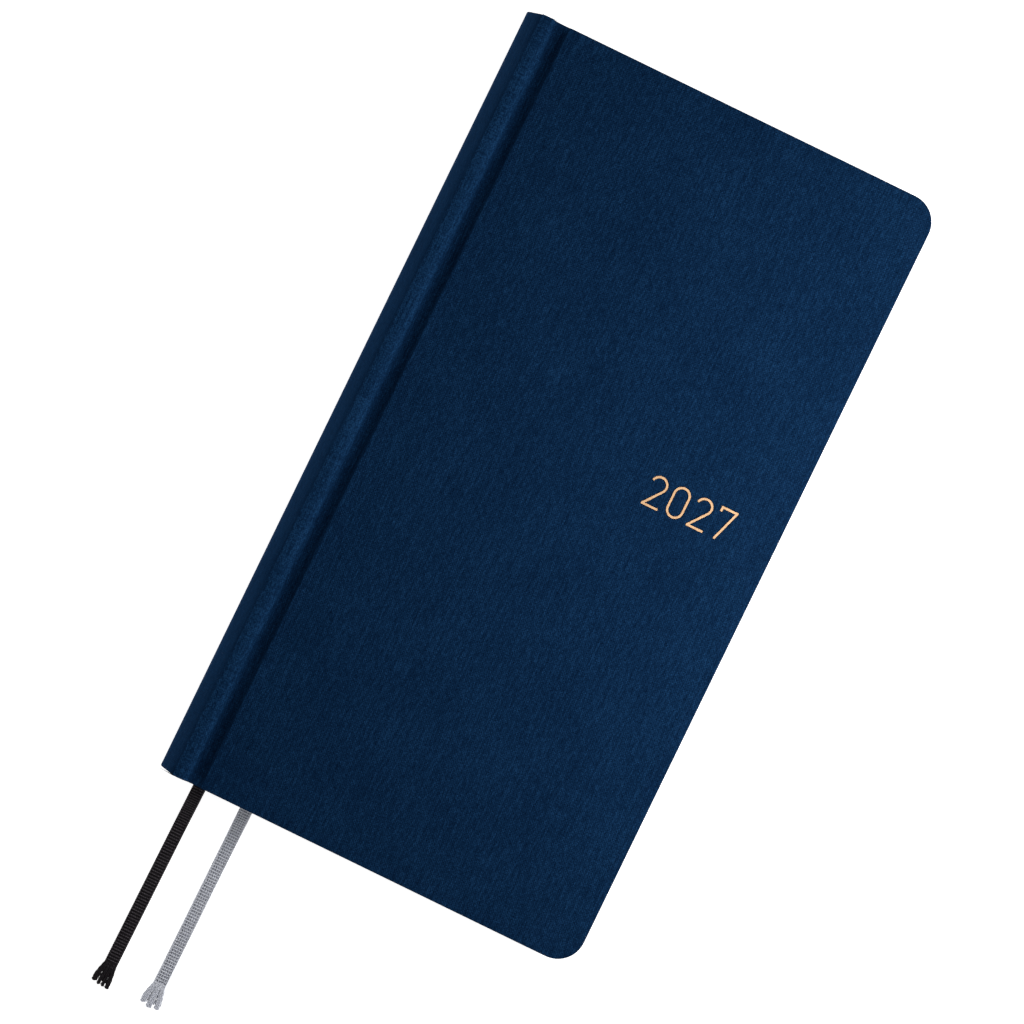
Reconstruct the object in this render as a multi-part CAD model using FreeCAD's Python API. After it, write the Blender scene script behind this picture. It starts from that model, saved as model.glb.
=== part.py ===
import FreeCAD, Part
import math
import os
from FreeCAD import Vector

# A slim case-bound pocket logbook, closed and lying on its back cover.
# X runs from the spine to the fore-edge, Y from tail to head, Z up. Millimetres.
# Distances along X are counted from the spine's outermost line, and called s.

# The case, measured over its cloth
coverWidth = 102.4
coverHeight = 188.0
coverThickness = 12.0         # between the outer faces of the two covers
cornerRadius = 6.4            # fore-edge corners of both covers
edgeRadius = 0.5              # cloth pulled round a board's edge

# Sheet materials
cloth = 0.35
board = 1.8
spineCard = 0.6
endpaper = 0.15
turnIn = 13.0                 # cloth folded over inside the boards and the spine
pastedownMargin = 3.0         # cloth left showing round the pasted endpaper

# Spine and joints, as seen from the head
noseRadius = 3.5              # outermost curve of the spine
ridgeCentre = 5.4             # from the spine to the middle of the ridge
ridgeRadius = 2.3
frontRidgeRise = 0.6          # the front ridge stands above the cover; the back one is pressed flush
grooveCentre = 8.95           # from the spine to the bottom of the joint groove
grooveDepth = 2.1             # below the top of the ridge

# Text block
square = 3.0                  # how far the covers stand past the outer leaves
pageCorner = 5.0
sectionCount = 7
turningSections = 3           # sections in front of the black ribbon
backApex = 3.6                # from the spine to the middle fold
backRadius = 5.5              # rounding of the block's back
glue = 0.3
mull = 0.2
lining = 0.2
threadWidth = 0.5
threadThickness = 0.25
threadPitch = 21.0
threadCount = 8
bandRadius = 0.6              # head and tail bands

# Clearances
coverGap = 0.2                # pasted endpaper to flyleaf
leafGap = 0.1                 # between neighbouring leaves and sections
seamGap = 0.02                # between parts that only touch
splitGap = 0.2                # between a leaf and its bound strip
ribbonGap = 0.2               # each side of a ribbon between the leaves

# The line that the front cover and the leaves turn about
hingeFromSpine = 4.9
leafSplit = 9.0               # from the spine to where the leaves turn freely

# Marker ribbons: the section each lies on, where it lies along X at the head and at the tail,
# and its loose route as (distance past the leaves, height) points
ribbonWidth = 3.0
ribbonThickness = 0.4
ribbonEndWidth = 4.9
ribbonEndLength = 5.2
ribbons = {
    "black": {"section": 4, "head": 6.8, "tail": 10.05, "route": [(5.0, 6.0), (12.5, 0.2), (50.3, 0.2)]},
    "grey": {"section": 6, "head": 7.2, "tail": 21.65, "route": [(4.5, 4.3), (10.5, 0.2), (49.8, 0.2)]},
}

# Stamped year on the front cover
digitHeight = 7.44
digitWidth = 4.04
digitPitch = 5.55
strokeWidth = 0.5
foil = 0.05
yearX = 30.05                 # middle of the year, from the middle of the book
yearY = 9.55

# Worked out from the sizes above
spineX = -coverWidth / 2
halfHeight = coverHeight / 2
halfPage = halfHeight - square
middle = coverThickness / 2
clothInner = coverThickness - cloth
boardInner = clothInner - board
turnInInner = boardInner - cloth
pastedownInner = turnInInner - endpaper
flyleafTop = pastedownInner - coverGap
blockTop = flyleafTop - endpaper - leafGap
blockBottom = coverThickness - blockTop
sectionThickness = (blockTop - blockBottom - (sectionCount - 1) * leafGap) / sectionCount
foreEdge = coverWidth - square
ridgeTop = coverThickness + frontRidgeRise
spineMiddle = ridgeTop / 2
grooveRadius = (
    (grooveCentre - ridgeCentre) ** 2 - grooveDepth * (2 * ridgeRadius - grooveDepth)
) / (2 * grooveDepth)
boardEdge = grooveCentre + grooveRadius + cloth
backCentre = backApex + backRadius
endpaperFold = ridgeCentre - endpaper
hingeHeight = (ridgeTop + flyleafTop) / 2 + coverGap / 2


def box(s0, s1, y0, y1, z0, z1):
    return Part.makeBox(s1 - s0, y1 - y0, z1 - z0, Vector(spineX + s0, y0, z0))


def alongY(edges, y0, y1):
    return Part.Face(Part.Wire(edges)).extrude(Vector(0, y1 - y0, 0))


def outline(points, y0, y1):
    """A solid whose closed section is drawn through (s, z) points."""
    corners = [Vector(spineX + s, y0, z) for s, z in points]
    return alongY(Part.makePolygon(corners + corners[:1]).Edges, y0, y1)


def ringSector(centre, inner, outer, start, end, y0, y1):
    """Part of a tube along Y, between two radii and two angles counted from +X towards +Z."""

    def at(radius, degrees):
        turn = math.radians(degrees)
        s = spineX + centre[0] + radius * math.cos(turn)
        return Vector(s, y0, centre[1] + radius * math.sin(turn))

    half = (start + end) / 2
    edges = [
        Part.Arc(at(outer, start), at(outer, half), at(outer, end)).toShape(),
        Part.LineSegment(at(outer, end), at(inner, end)).toShape(),
        Part.Arc(at(inner, end), at(inner, half), at(inner, start)).toShape(),
        Part.LineSegment(at(inner, start), at(outer, start)).toShape(),
    ]
    return alongY(edges, y0, y1)


def uprightEdges(solid, x):
    ends = [(edge, edge.Vertexes[0].Point, edge.Vertexes[-1].Point) for edge in solid.Edges]
    return [
        edge
        for edge, a, b in ends
        if abs(a.x - x) < 1e-6 and abs(b.x - x) < 1e-6 and abs(a.y - b.y) < 1e-6
    ]


def plate(s0, s1, halfWidth, z0, z1, radius):
    """A flat sheet whose two fore-edge corners are rounded."""
    sheet = box(s0, s1, -halfWidth, halfWidth, z0, z1)
    return sheet.makeFillet(radius, uprightEdges(sheet, spineX + s1))


def joined(shapes):
    return shapes[0].fuse(shapes[1:]).removeSplitter()


def onBack(shape):
    """The same piece on the back cover: mirrored through the middle of the book's thickness."""
    return shape.mirror(Vector(0, 0, middle), Vector(0, 0, 1))


def save(name, shape):
    solids = shape.Solids
    if not solids or not all(solid.isValid() for solid in solids):
        raise ValueError(name)
    kept = solids[0] if len(solids) == 1 else Part.makeCompound(solids)
    kept.exportStep(f"parts/{name}.step")
    print(f"{name}: {len(solids)} solids, {kept.Volume:.1f} mm3")


# Spine: a curved nose, a straight flank each side, and the ridges over the shoulders

def flankTilt():
    """How far the flank leans from upright, in degrees: it touches the nose and the ridge."""
    along = ridgeCentre - noseRadius
    up = spineMiddle - ridgeRadius
    lean = math.atan2(along, up) + math.asin((noseRadius - ridgeRadius) / math.hypot(along, up))
    return math.degrees(lean)


def spineLayer(outside, inside, y0, y1, withRidges=False):
    """One layer of the spine, between two depths below the cloth's outer face."""
    tilt = flankTilt()
    turn = math.radians(tilt)
    nose = (noseRadius, spineMiddle)
    ridge = (ridgeCentre, ridgeTop - ridgeRadius)
    pieces = [
        ringSector(nose, noseRadius - inside, noseRadius - outside, 180 - tilt, 180 + tilt, y0, y1)
    ]
    for side in (1, -1):
        def flankPoint(centre, radius):
            s = centre[0] - radius * math.cos(turn)
            z = centre[1] + radius * math.sin(turn)
            return s, spineMiddle + side * (z - spineMiddle)

        corners = [
            flankPoint(nose, noseRadius - outside),
            flankPoint(ridge, ridgeRadius - outside),
            flankPoint(ridge, ridgeRadius - inside),
            flankPoint(nose, noseRadius - inside),
        ]
        pieces.append(outline(corners, y0, y1))
        if withRidges:
            sector = ringSector(
                ridge, ridgeRadius - inside, ridgeRadius - outside, 90, 180 - tilt, y0, y1
            )
            level = Vector(0, 0, spineMiddle)
            pieces.append(sector if side == 1 else sector.mirror(level, Vector(0, 0, 1)))
    return joined(pieces)


def makeSpine():
    cardEnd = halfHeight - cloth
    depth = cloth + spineCard
    outer = spineLayer(0, cloth, -halfHeight, halfHeight, withRidges=True)
    pieces = [outer]
    for side in (1, -1):
        ends = sorted((side * cardEnd, side * halfHeight))
        pieces.append(spineLayer(cloth, depth, *ends))
        folded = sorted((side * (halfHeight - turnIn), side * halfHeight))
        pieces.append(spineLayer(depth, depth + cloth, *folded))
    save("spine_cloth", joined(pieces))
    save("spine_card", spineLayer(cloth, depth, -cardEnd, cardEnd))


# Joints: the cloth that dips into the groove and climbs the board's edge

def jointCloth(rise):
    """The joint of a front cover whose ridge stands this far above the cover's face."""
    ridge = (ridgeCentre, coverThickness + rise - ridgeRadius)
    groove = (grooveCentre, coverThickness + rise - grooveDepth + grooveRadius)
    turn = math.degrees(math.atan2(groove[1] - ridge[1], groove[0] - ridge[0]))
    seam = math.degrees(seamGap / ridgeRadius)
    span = (-halfHeight, halfHeight)
    pieces = [
        ringSector(ridge, ridgeRadius - cloth, ridgeRadius, turn, 90 - seam, *span),
        ringSector(groove, grooveRadius, grooveRadius + cloth, turn - 180, 0, *span),
    ]
    lift = max(groove[1] - coverThickness, 0)
    meets = grooveCentre + math.sqrt(grooveRadius**2 - lift**2)
    pieces.append(box(meets, boardEdge, *span, min(groove[1], clothInner), coverThickness))
    over = box(grooveCentre, 2 * coverWidth, *span, coverThickness, 2 * coverThickness)
    past = box(boardEdge, 2 * coverWidth, *span, 0, coverThickness)
    return joined(pieces).cut(over).cut(past)


def makeJoints():
    save("front_joint_cloth", jointCloth(frontRidgeRise))
    save("back_joint_cloth", onBack(jointCloth(0)))
    strip = box(endpaperFold, boardEdge, -halfPage, halfPage, pastedownInner, turnInInner)
    save("front_endpaper_joint", strip)
    save("back_endpaper_joint", onBack(strip))


# Covers: greyboard wrapped in cloth, with an endpaper pasted inside

def coverCloth():
    wrap = plate(boardEdge, coverWidth, halfHeight, turnInInner, coverThickness, cornerRadius)
    rims = [
        edge
        for edge in wrap.Edges
        if edge.BoundBox.ZLength < 1e-6 and edge.BoundBox.XMax > spineX + boardEdge + 1e-6
    ]
    wrap = wrap.makeFillet(edgeRadius, rims)
    inside = plate(
        boardEdge, coverWidth - cloth, halfHeight - cloth, boardInner, clothInner, cornerRadius - cloth
    )
    window = box(
        boardEdge, coverWidth - turnIn, turnIn - halfHeight, halfHeight - turnIn, turnInInner, boardInner
    )
    return wrap.cut(inside).cut(window)


def pastedown(wrap):
    margin = pastedownMargin
    sheet = plate(
        boardEdge,
        coverWidth - margin,
        halfHeight - margin,
        pastedownInner,
        boardInner,
        cornerRadius - margin,
    )
    inset = turnIn + endpaper
    recess = box(
        boardEdge + endpaper,
        coverWidth - inset,
        inset - halfHeight,
        halfHeight - inset,
        pastedownInner,
        boardInner - endpaper,
    )
    return sheet.cut(wrap).cut(recess)


def makeCovers():
    wrap = coverCloth()
    plain = plate(
        boardEdge, coverWidth - cloth, halfHeight - cloth, boardInner, clothInner, cornerRadius - cloth
    )
    paper = pastedown(wrap)
    for name, piece in {"board": plain, "cover_cloth": wrap, "pastedown": paper}.items():
        save(f"front_{name}", piece)
        save(f"back_{name}", onBack(piece))


# Text block: folded sections sewn through their backs, with a flyleaf front and back

def sectionTop(number):
    return blockTop - (number - 1) * (sectionThickness + leafGap)


def foldCentre(number):
    """Where a section's rounded fold has its centre, so that all folds touch the block's round back."""
    half = sectionThickness / 2
    height = sectionTop(number) - half - middle
    return backCentre - math.sqrt((backRadius - half) ** 2 - height**2)


pageWidth = foreEdge - foldCentre(1) + sectionThickness / 2


def section(number):
    top = sectionTop(number)
    bottom = top - sectionThickness
    half = sectionThickness / 2
    centre = foldCentre(number)
    leaves = plate(centre, centre - half + pageWidth, halfPage, bottom, top, pageCorner)
    fold = ringSector((centre, top - half), 0.1, half, 90, 270, -halfPage, halfPage)
    core = box(centre - 0.1, centre, -halfPage, halfPage, top - half - 0.1, top - half + 0.1)
    return joined([leaves, fold, core])


def makeFlyleaves():
    flyleafBottom = flyleafTop - endpaper
    foldStart, foldEnd = endpaperFold - endpaper, endpaperFold - seamGap
    fold = box(foldStart, foldEnd, -halfPage, halfPage, flyleafBottom, turnInInner)
    strip = box(foldEnd, leafSplit - splitGap, -halfPage, halfPage, flyleafBottom, flyleafTop)
    save("front_flyleaf_strip", joined([fold, strip]))
    save("front_flyleaf", plate(leafSplit, foreEdge, halfPage, flyleafBottom, flyleafTop, pageCorner))
    whole = plate(foldEnd, foreEdge, halfPage, flyleafBottom, flyleafTop, pageCorner)
    save("back_flyleaf", onBack(joined([fold, whole])))


def ribbonStrip(ribbon, extra, top, thickness):
    """A flat strip that slants from a ribbon's place at the head to its place at the tail."""
    half = ribbonWidth / 2 + extra
    run = halfPage
    ends = [(ribbon["head"], run), (ribbon["tail"], -run)]
    corners = [Vector(spineX + s - half, y, top) for s, y in ends]
    corners += [Vector(spineX + s + half, y, top) for s, y in reversed(ends)]
    face = Part.Face(Part.makePolygon(corners + corners[:1]))
    return face.extrude(Vector(0, 0, -thickness))


def makeBlock():
    channelDepth = ribbonThickness + seamGap
    laidOn = {ribbon["section"]: ribbon for ribbon in ribbons.values()}
    for number in range(1, sectionCount + 1):
        whole = section(number)
        if number in laidOn:
            top = sectionTop(number)
            whole = whole.cut(ribbonStrip(laidOn[number], ribbonGap, top, channelDepth))
        if number > turningSections:
            save(f"section_{number:02}", whole)
            continue
        spineSide = box(0, leafSplit - splitGap, -halfPage, halfPage, 0, coverThickness)
        openSide = box(leafSplit, coverWidth, -halfPage, halfPage, 0, coverThickness)
        save(f"section_{number:02}_fold", whole.common(spineSide))
        save(f"section_{number:02}_leaves", whole.common(openSide))


# The block's back: threads in the glue, gauze and a paper lining over them

def backLayer(inner, outer, y0, y1):
    reach = math.degrees(math.asin((blockTop - middle) / (backRadius + outer)))
    radii = (backRadius + inner, backRadius + outer)
    return ringSector((backCentre, middle), *radii, 180 - reach, 180 + reach, y0, y1)


def makeBack():
    starts = [(n - (threadCount - 1) / 2) * threadPitch - threadWidth / 2 for n in range(threadCount)]
    threads = [backLayer(seamGap, threadThickness, y, y + threadWidth) for y in starts]
    save("sewing_threads", Part.makeCompound(threads))
    coat = backLayer(seamGap, glue, -halfPage, halfPage)
    for y in starts:
        coat = coat.cut(backLayer(-glue, threadThickness, y, y + threadWidth))
    save("spine_glue", coat)
    save("spine_mull", backLayer(glue, glue + mull, -halfPage, halfPage))
    save("spine_lining", backLayer(glue + mull, glue + mull + lining, -halfPage, halfPage))


def makeBands():
    """Corded bands that follow the block's back just past its head and tail."""
    reach = math.degrees(math.asin((blockTop - middle - bandRadius / 2) / backRadius))
    axis = Vector(spineX + backCentre, 0, middle)
    for name, side in (("head_band", 1), ("tail_band", -1)):
        y = side * (halfPage + bandRadius + seamGap)
        start = Vector(spineX + backCentre - backRadius + bandRadius / 2, y, middle)
        section = Part.Face(Part.Wire(Part.makeCircle(bandRadius, start, Vector(0, 0, 1))))
        section.rotate(axis, Vector(0, 1, 0), -reach)
        save(name, section.revolve(axis, Vector(0, 1, 0), 2 * reach))


# Marker ribbons: flat strips laid between the leaves, then loose past the tail

def roundedPath(points):
    """Straight runs joined by tangent arcs, each as large as its two runs allow."""
    edges, start = [], points[0]
    for before, corner, after in zip(points, points[1:], points[2:]):
        into, out = corner - before, after - corner
        half = into.getAngle(out) / 2
        cut = 0.45 * min(into.Length, out.Length)
        begin = corner - into.normalize() * cut
        end = corner + out.normalize() * cut
        radius = cut / math.tan(half)
        towards = (begin + end) * 0.5 - corner
        reach = radius / math.cos(half) - radius
        top = corner + towards.normalize() * reach
        print(f"bend radius {radius:.1f} mm")
        edges += [Part.LineSegment(start, begin).toShape(), Part.Arc(begin, top, end).toShape()]
        start = end
    edges.append(Part.LineSegment(start, points[-1]).toShape())
    return Part.Wire(edges)


def flatRibbon(points):
    path = roundedPath(points)
    half = ribbonWidth / 2
    first = points[0]
    across = (points[1] - first).cross(Vector(1, 0, 0)).normalize() * (ribbonThickness / 2)
    side = Vector(half, 0, 0)
    corners = [first + side + across, first - side + across, first - side - across, first + side - across]
    solid = path.makePipe(Part.Face(Part.makePolygon(corners + corners[:1])))
    print(f"length {path.Length:.1f} mm, volume ratio "
          f"{solid.Volume / (path.Length * ribbonWidth * ribbonThickness):.4f}")
    return solid


def makeRibbons():
    for colour, ribbon in ribbons.items():
        top = sectionTop(ribbon["section"]) - seamGap / 2
        save(f"{colour}_ribbon_inner", ribbonStrip(ribbon, 0, top, ribbonThickness))
        x = spineX + ribbon["tail"]
        leave = Vector(x, -halfPage, top - ribbonThickness / 2)
        points = [leave] + [Vector(x, -halfPage - y, z) for y, z in ribbon["route"]]
        save(f"{colour}_ribbon", flatRibbon(points))
        tip = points[-1] - Vector(0, 0, ribbonThickness / 2)
        narrow, wide = ribbonWidth / 2, ribbonEndWidth / 2
        far = Vector(0, -ribbonEndLength, 0)
        corners = [
            tip - Vector(narrow, 0, 0),
            tip + Vector(narrow, 0, 0),
            tip + Vector(wide, 0, 0) + far,
            tip - Vector(wide, 0, 0) + far,
        ]
        face = Part.Face(Part.makePolygon(corners + corners[:1]))
        save(f"{colour}_ribbon_end", face.extrude(Vector(0, 0, ribbonThickness)))


# The stamped year, drawn with strokes of one width and square ends

def stroke(a, b):
    """A straight stroke between two points."""
    start, end = Vector(*a, 0), Vector(*b, 0)
    side = (end - start).cross(Vector(0, 0, 1)).normalize() * (strokeWidth / 2)
    return Part.Face(Part.makePolygon([start + side, end + side, end - side, start - side, start + side]))


def curvedStroke(centre, radius, start, end):
    """A stroke along part of a circle, from one angle to a smaller one."""

    def at(reach, degrees):
        turn = math.radians(degrees)
        return Vector(centre[0] + reach * math.cos(turn), centre[1] + reach * math.sin(turn), 0)

    inner, outer, half = radius - strokeWidth / 2, radius + strokeWidth / 2, (start + end) / 2
    edges = [
        Part.Arc(at(outer, start), at(outer, half), at(outer, end)).toShape(),
        Part.LineSegment(at(outer, end), at(inner, end)).toShape(),
        Part.Arc(at(inner, end), at(inner, half), at(inner, start)).toShape(),
        Part.LineSegment(at(inner, start), at(outer, start)).toShape(),
    ]
    return Part.Face(Part.Wire(edges))


def digitTwo():
    w, h, t = digitWidth, digitHeight, strokeWidth / 2
    radius = w / 2 - t
    centre = (w / 2, h - t - radius)
    turn = -38
    leave = math.radians(turn)
    corner = (centre[0] + radius * math.cos(leave), centre[1] + radius * math.sin(leave))
    return [curvedStroke(centre, radius, 165, turn), stroke(corner, (t, t)), stroke((0, t), (w, t))]


def digitZero():
    w, h, t = digitWidth, digitHeight, strokeWidth / 2
    radius = w / 2 - t
    low, high = (w / 2, t + radius), (w / 2, h - t - radius)
    sides = [stroke((x, low[1]), (x, high[1])) for x in (t, w - t)]
    return [curvedStroke(high, radius, 180, 0), curvedStroke(low, radius, 0, -180)] + sides


def digitSeven():
    w, h, t = digitWidth, digitHeight, strokeWidth / 2
    return [stroke((0, h - t), (w, h - t)), stroke((t, h), (t, h - 5 * t)), stroke((w - t, h - t), (w / 3, 0))]


def makeYear():
    digits = [digitTwo(), digitZero(), digitTwo(), digitSeven()]
    width = (len(digits) - 1) * digitPitch + digitWidth
    raised = []
    for n, strokes in enumerate(digits):
        solids = [face.extrude(Vector(0, 0, foil)) for face in strokes]
        digit = joined(solids)
        x = yearX - width / 2 + n * digitPitch
        digit.translate(Vector(x, yearY - digitHeight / 2, coverThickness))
        raised.append(digit)
    save("foil_year", Part.makeCompound(raised))


os.makedirs("parts", exist_ok=True)
makeCovers()
makeSpine()
makeJoints()
makeBlock()
makeFlyleaves()
makeBack()
makeBands()
makeRibbons()
makeYear()
print(f"covers turn about x {spineX + hingeFromSpine:.3f}, z {hingeHeight:.3f} and {coverThickness - hingeHeight:.3f}")
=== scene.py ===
import bmesh
import bpy
from math import asin, atan2, cos, hypot, pi, radians, sin
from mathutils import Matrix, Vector, noise


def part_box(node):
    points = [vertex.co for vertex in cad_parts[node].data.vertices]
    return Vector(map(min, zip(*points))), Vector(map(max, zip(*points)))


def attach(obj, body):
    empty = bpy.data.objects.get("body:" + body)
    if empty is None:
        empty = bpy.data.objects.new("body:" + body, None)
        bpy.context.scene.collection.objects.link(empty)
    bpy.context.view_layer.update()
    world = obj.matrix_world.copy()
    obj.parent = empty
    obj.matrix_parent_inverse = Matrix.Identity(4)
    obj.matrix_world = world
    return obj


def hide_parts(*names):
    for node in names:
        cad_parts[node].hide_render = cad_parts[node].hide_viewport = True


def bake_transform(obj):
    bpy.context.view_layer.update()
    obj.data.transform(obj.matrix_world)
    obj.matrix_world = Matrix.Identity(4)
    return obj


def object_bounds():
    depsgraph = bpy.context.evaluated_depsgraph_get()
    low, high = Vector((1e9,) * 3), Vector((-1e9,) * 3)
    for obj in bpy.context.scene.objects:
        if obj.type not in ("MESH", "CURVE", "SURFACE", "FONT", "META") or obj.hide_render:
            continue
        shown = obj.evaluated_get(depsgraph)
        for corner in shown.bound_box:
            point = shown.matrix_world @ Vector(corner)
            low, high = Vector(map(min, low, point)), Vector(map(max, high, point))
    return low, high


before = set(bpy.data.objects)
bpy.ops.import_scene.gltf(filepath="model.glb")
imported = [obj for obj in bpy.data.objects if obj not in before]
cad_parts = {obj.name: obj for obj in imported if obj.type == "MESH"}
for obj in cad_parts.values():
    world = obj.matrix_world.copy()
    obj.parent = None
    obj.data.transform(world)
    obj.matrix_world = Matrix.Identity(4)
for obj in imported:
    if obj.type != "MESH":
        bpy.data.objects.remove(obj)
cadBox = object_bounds()

# A closed pocket logbook in book cloth, lying on its back cover. X runs from the spine to the
# fore-edge, Y from tail to head, Z up, in metres. s is a distance from the spine's outer line.
mm = 0.001
coverLow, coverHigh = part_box("front_cover_cloth")
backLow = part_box("back_cover_cloth")[0]
spineLow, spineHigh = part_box("spine_cloth")
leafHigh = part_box("section_07")[1]
spineX = spineLow.x
halfHeight = coverHigh.y
halfPage = leafHigh.y
bookMiddle = (coverHigh.z + backLow.z) / 2
tiny = 0.001 * mm                 # closer together than this counts as the same place


view = {
    "above": (-0.0051, -0.00845, 0.512),
    "turned": radians(25.95),
    "lens": 79.1,
}


def addCamera():
    camera = bpy.data.cameras.new("camera")
    camera.lens = view["lens"]
    camera.clip_start = 0.01
    holder = bpy.data.objects.new("camera", camera)
    holder.location = view["above"]
    holder.rotation_euler = (0, 0, view["turned"])
    bpy.context.scene.collection.objects.link(holder)
    bpy.context.scene.camera = holder


lights = {
    "key": {"at": (0.190, 0.040, 0.165), "aim": (0.03, 0.02, 0.012), "size": (0.10, 0.22), "power": 0.70},
    "left": {"at": (-0.42, 0.05, 0.24), "aim": (-0.03, 0.0, 0.0), "size": (0.40, 0.40), "power": 0.35},
}
# wallFoot and wallTop: sines of the elevations between which the light fades
room = {"horizon": 1.0, "ceiling": 0.15, "wallFoot": 0.1, "wallTop": 0.5, "colour": (1, 1, 1, 1)}


def addLights():
    for name, light in lights.items():
        lamp = bpy.data.lights.new(name, "AREA")
        lamp.shape = "RECTANGLE"
        lamp.size, lamp.size_y = light["size"]
        lamp.energy = light["power"]
        holder = bpy.data.objects.new(name, lamp)
        holder.location = light["at"]
        aim = Vector(light["aim"]) - Vector(light["at"])
        holder.rotation_euler = aim.to_track_quat("-Z", "Y").to_euler()
        holder.visible_camera = False
        bpy.context.scene.collection.objects.link(holder)
    world = bpy.data.worlds.new("soft_room")
    world.use_nodes = True
    w = Wiring(world.node_tree)
    backdrop = world.node_tree.nodes["Background"]
    backdrop.inputs["Color"].default_value = room["colour"]
    height = w.parts(w.node("ShaderNodeTexCoord").outputs["Generated"])["Z"]
    fade = w.ranged(height, room["wallFoot"], room["wallTop"], room["horizon"], room["ceiling"])
    w.feed(backdrop.inputs["Strength"], fade)
    bpy.context.scene.world = world
    bpy.context.scene.view_settings.view_transform = "Standard"


class Wiring:
    def __init__(self, tree):
        self.tree = tree

    def node(self, kind, inputs=None, **settings):
        made = self.tree.nodes.new(kind)
        for key, value in settings.items():
            setattr(made, key, value)
        for key, value in (inputs or {}).items():
            self.feed(made.inputs[key], value)
        return made

    def feed(self, socket, value):
        if isinstance(value, bpy.types.NodeSocket):
            self.tree.links.new(value, socket)
        else:
            socket.default_value = value

    def maths(self, operation, a, b=0.0, c=0.0):
        return self.node("ShaderNodeMath", {0: a, 1: b, 2: c}, operation=operation).outputs[0]

    def vectors(self, operation, a, b):
        return self.node("ShaderNodeVectorMath", {0: a, 1: b}, operation=operation).outputs[0]

    def scaled(self, vector, factors):
        return self.vectors("MULTIPLY", vector, factors)

    def stretched(self, vector, scale):
        return self.node("ShaderNodeVectorMath", {0: vector, "Scale": scale}, operation="SCALE").outputs[0]

    def place(self):
        return self.node("ShaderNodeTexCoord").outputs["Object"]

    def parts(self, vector):
        return self.node("ShaderNodeSeparateXYZ", {0: vector}).outputs

    def noiseNode(self, vector, scale, detail=2.0, rough=0.5):
        inputs = {"Vector": vector, "Scale": scale, "Detail": detail, "Roughness": rough}
        return self.node("ShaderNodeTexNoise", inputs).outputs

    def noise(self, vector, scale, detail=2.0, rough=0.5):
        return self.noiseNode(vector, scale, detail, rough)["Fac"]

    def ranged(self, value, low, high, start=0.0, end=1.0):
        inputs = {"Value": value, "From Min": low, "From Max": high, "To Min": start, "To Max": end}
        return self.node("ShaderNodeMapRange", inputs).outputs["Result"]

    def strip(self, value, middle, reach, shaded_core, start=0.0, end=1.0):
        # the end value within core of the middle, fading to the start value at reach
        off = self.maths("ABSOLUTE", self.maths("SUBTRACT", value, middle))
        return self.ranged(off, reach, shaded_core, start, end)

    def mixed(self, factor, a, b):
        made = self.node("ShaderNodeMix", data_type="RGBA")
        self.feed(made.inputs["Factor"], factor)
        self.feed(made.inputs[6], a)
        self.feed(made.inputs[7], b)
        return made.outputs[2]

    def bump(self, height, distance, strength=1.0):
        inputs = {"Height": height, "Distance": distance, "Strength": strength}
        return self.node("ShaderNodeBump", inputs).outputs["Normal"]


def newMaterial(name, **plain):
    # a material, its wiring and its shader's sockets
    material = bpy.data.materials.new(name)
    material.use_nodes = True
    sockets = material.node_tree.nodes["Principled BSDF"].inputs
    for socket, value in plain.items():
        sockets[socket.replace("_", " ")].default_value = value
    return material, Wiring(material.node_tree), sockets


def newGroup(name, inputs, outputs):
    # a shader group; inputs are name: (socket kind, value), outputs are name: socket kind
    group = bpy.data.node_groups.new(name, "ShaderNodeTree")
    for label, (kind, value) in inputs.items():
        socket = group.interface.new_socket(label, in_out="INPUT", socket_type=kind)
        if value is not None:
            socket.default_value = value
    for label, kind in outputs.items():
        group.interface.new_socket(label, in_out="OUTPUT", socket_type=kind)
    wires = Wiring(group)
    source = wires.node("NodeGroupInput").outputs
    sink = wires.node("NodeGroupOutput").inputs
    return group, wires, source, sink


def placeGroup(wires, group, **inputs):
    made = wires.node("ShaderNodeGroup", node_tree=group)
    for label, value in inputs.items():
        wires.feed(made.inputs[label.replace("_", " ")], value)
    return made.outputs


def makeWeaveGroup():
    # plain weave over a vector in metres: height of the threads, and how short lengths of each differ
    group, w, source, sink = newGroup(
        "weave",
        {
            "Place": ("NodeSocketVector", None),
            "Threads per mm": ("NodeSocketFloat", 3.0),
            "Wander": ("NodeSocketFloat", 0.3),
        },
        {"Height": "NodeSocketFloat", "Tone": "NodeSocketFloat"},
    )
    inMm = w.scaled(source["Place"], (1000, 1000, 1000))
    drift = w.vectors("SUBTRACT", w.noiseNode(inMm, 0.9)["Color"], (0.5, 0.5, 0.5))
    pull = w.stretched(drift, source["Wander"])
    threads = w.stretched(w.vectors("ADD", inMm, pull), source["Threads per mm"])
    split = w.parts(threads)
    across = w.maths("SINE", w.maths("MULTIPLY", split[0], pi))
    along = w.maths("SINE", w.maths("MULTIPLY", split[1], pi))
    over = w.maths("MULTIPLY", across, along)
    warp = w.noise(w.scaled(threads, (1.0, 0.22, 1)), 1.0, 1.0)
    weft = w.noise(w.scaled(threads, (0.3, 1.0, 1)), 1.0, 1.0)
    tone = w.node("ShaderNodeMix", data_type="FLOAT")
    w.feed(tone.inputs["Factor"], w.ranged(over, -0.2, 0.2))
    w.feed(tone.inputs[2], weft)
    w.feed(tone.inputs[3], warp)
    w.feed(sink["Height"], w.ranged(over, -1.0, 1.0))
    w.feed(sink["Tone"], w.ranged(tone.outputs[0], 0.25, 0.75))
    return group


weaveGroup = makeWeaveGroup()

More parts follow.
